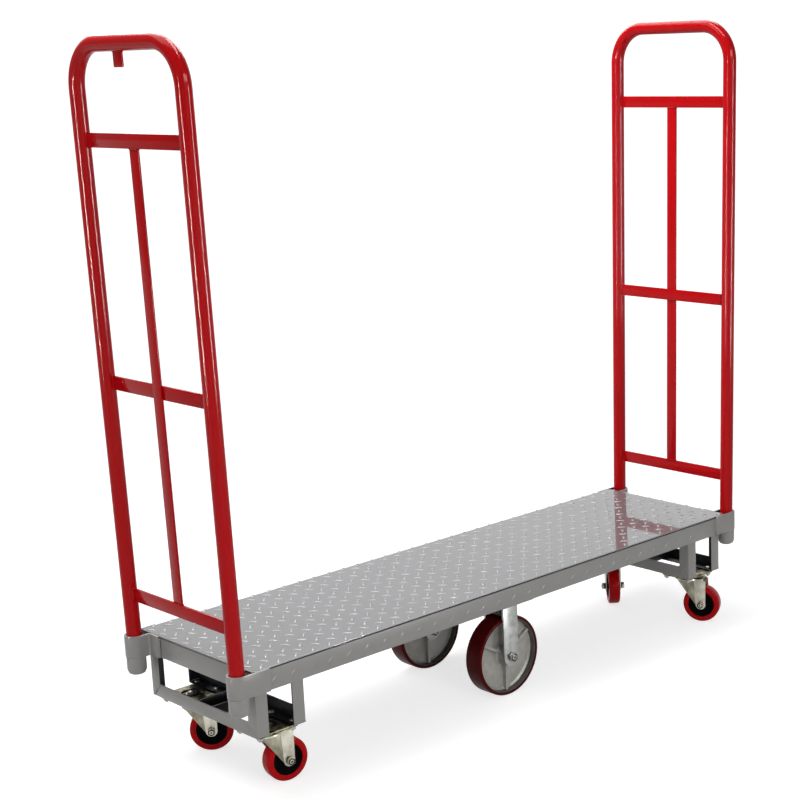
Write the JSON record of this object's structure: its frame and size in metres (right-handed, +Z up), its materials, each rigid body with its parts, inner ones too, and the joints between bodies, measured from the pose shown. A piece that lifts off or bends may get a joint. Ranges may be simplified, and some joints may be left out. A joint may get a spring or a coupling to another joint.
{
  "type": "platform dolly",
  "caption": "Long narrow tread-plate platform dolly with lift-out tube handles at both ends, swivel casters at the corners and larger fixed wheels under the middle.",
  "frame": {"origin": "on the floor under the centre of the deck", "axes": "+X along the deck towards the front handle, +Y to the left side, +Z up"},
  "size_m": [1.7476, 0.4512, 1.6292],
  "materials": {
    "grey_powder_coat": "grey powder coat, semi-gloss, over folded tread plate and angle iron",
    "red_powder_coat": "red powder coat, glossy",
    "zinc_plate": "zinc plated pressed steel, slightly yellow",
    "cast_iron": "grey coated cast iron",
    "black_core": "black moulded wheel core",
    "red_polyurethane": "red polyurethane tread, satin"
  },
  "bodies": {
    "deck_assembly": {"deck_plate": "grey_powder_coat", "end_plate_rear": "grey_powder_coat", "end_plate_front": "grey_powder_coat", "caster_frame_rear_outer": "grey_powder_coat", "caster_frame_rear_inner": "grey_powder_coat", "caster_frame_front_outer": "grey_powder_coat", "caster_frame_front_inner": "grey_powder_coat", "socket_band_rear_left": "grey_powder_coat", "socket_cup_rear_left": "grey_powder_coat", "socket_band_rear_right": "grey_powder_coat", "socket_cup_rear_right": "grey_powder_coat", "socket_band_front_left": "grey_powder_coat", "socket_cup_front_left": "grey_powder_coat", "socket_band_front_right": "grey_powder_coat", "socket_cup_front_right": "grey_powder_coat", "caster_plate_rear_right": "zinc_plate", "caster_kingpin_rear_right": "zinc_plate", "caster_plate_rear_left": "zinc_plate", "caster_kingpin_rear_left": "zinc_plate", "caster_plate_front_right": "zinc_plate", "caster_kingpin_front_right": "zinc_plate", "caster_plate_front_left": "zinc_plate", "caster_kingpin_front_left": "zinc_plate", "centre_crossmember": "grey_powder_coat", "centre_fork_left": "zinc_plate", "centre_axle_left": "zinc_plate", "centre_fork_right": "zinc_plate", "centre_axle_right": "zinc_plate"},
    "centre_wheel_left": {"centre_core_left": "cast_iron", "centre_tread_left": "red_polyurethane"},
    "centre_wheel_right": {"centre_core_right": "cast_iron", "centre_tread_right": "red_polyurethane"},
    "caster_rear_right_swivel": {"caster_fork_rear_right": "zinc_plate", "caster_axle_rear_right": "zinc_plate"},
    "caster_rear_right_wheel": {"caster_core_rear_right": "black_core", "caster_tread_rear_right": "red_polyurethane"},
    "caster_rear_left_swivel": {"caster_fork_rear_left": "zinc_plate", "caster_axle_rear_left": "zinc_plate"},
    "caster_rear_left_wheel": {"caster_core_rear_left": "black_core", "caster_tread_rear_left": "red_polyurethane"},
    "caster_front_right_swivel": {"caster_fork_front_right": "zinc_plate", "caster_axle_front_right": "zinc_plate"},
    "caster_front_right_wheel": {"caster_core_front_right": "black_core", "caster_tread_front_right": "red_polyurethane"},
    "caster_front_left_swivel": {"caster_fork_front_left": "zinc_plate", "caster_axle_front_left": "zinc_plate"},
    "caster_front_left_wheel": {"caster_core_front_left": "black_core", "caster_tread_front_left": "red_polyurethane"},
    "handle_rear": {"handle_rear_tube": "red_powder_coat", "handle_rear_rung_low": "red_powder_coat", "handle_rear_rung_mid": "red_powder_coat", "handle_rear_rung_top": "red_powder_coat", "handle_rear_upright": "red_powder_coat", "handle_rear_hook_tab": "red_powder_coat"},
    "handle_front": {"handle_front_tube": "red_powder_coat", "handle_front_rung_low": "red_powder_coat", "handle_front_rung_mid": "red_powder_coat", "handle_front_rung_top": "red_powder_coat", "handle_front_upright": "red_powder_coat"}
  },
  "joints": [
    {"name": "centre_wheel_left_spin", "type": "hinge", "parent": "deck_assembly", "child": "centre_wheel_left", "pos_m": [0, 0.145, 0.1016], "axis": [0, 1, 0], "continuous": true},
    {"name": "centre_wheel_right_spin", "type": "hinge", "parent": "deck_assembly", "child": "centre_wheel_right", "pos_m": [0, -0.145, 0.1016], "axis": [0, 1, 0], "continuous": true},
    {"name": "caster_rear_right_swivel_turn", "type": "hinge", "parent": "deck_assembly", "child": "caster_rear_right_swivel", "pos_m": [-0.72375, -0.1432, 0.12], "axis": [0, 0, 1], "continuous": true},
    {"name": "caster_rear_right_wheel_spin", "type": "hinge", "parent": "caster_rear_right_swivel", "child": "caster_rear_right_wheel", "pos_m": [-0.68325, -0.14961, 0.0508], "axis": [0.1564, 0.9877, 0], "continuous": true},
    {"name": "caster_rear_left_swivel_turn", "type": "hinge", "parent": "deck_assembly", "child": "caster_rear_left_swivel", "pos_m": [-0.72375, 0.1432, 0.12], "axis": [0, 0, 1], "continuous": true},
    {"name": "caster_rear_left_wheel_spin", "type": "hinge", "parent": "caster_rear_left_swivel", "child": "caster_rear_left_wheel", "pos_m": [-0.69144, 0.11796, 0.0508], "axis": [0.6157, 0.788, 0], "continuous": true},
    {"name": "caster_front_right_swivel_turn", "type": "hinge", "parent": "deck_assembly", "child": "caster_front_right_swivel", "pos_m": [0.72375, -0.1432, 0.12], "axis": [0, 0, 1], "continuous": true},
    {"name": "caster_front_right_wheel_spin", "type": "hinge", "parent": "caster_front_right_swivel", "child": "caster_front_right_wheel", "pos_m": [0.74236, -0.17973, 0.0508], "axis": [0.891, 0.454, 0], "continuous": true},
    {"name": "caster_front_left_swivel_turn", "type": "hinge", "parent": "deck_assembly", "child": "caster_front_left_swivel", "pos_m": [0.72375, 0.1432, 0.12], "axis": [0, 0, 1], "continuous": true},
    {"name": "caster_front_left_wheel_spin", "type": "hinge", "parent": "caster_front_left_swivel", "child": "caster_front_left_wheel", "pos_m": [0.69685, 0.11226, 0.0508], "axis": [0.7547, -0.6561, 0], "continuous": true},
    {"name": "handle_rear_lift", "type": "slide", "parent": "deck_assembly", "child": "handle_rear", "axis": [-0.0209, 0, 0.9998], "range_m": [0, 0.13]},
    {"name": "handle_front_lift", "type": "slide", "parent": "deck_assembly", "child": "handle_front", "axis": [0.0209, 0, 0.9998], "range_m": [0, 0.13]}
  ]
}
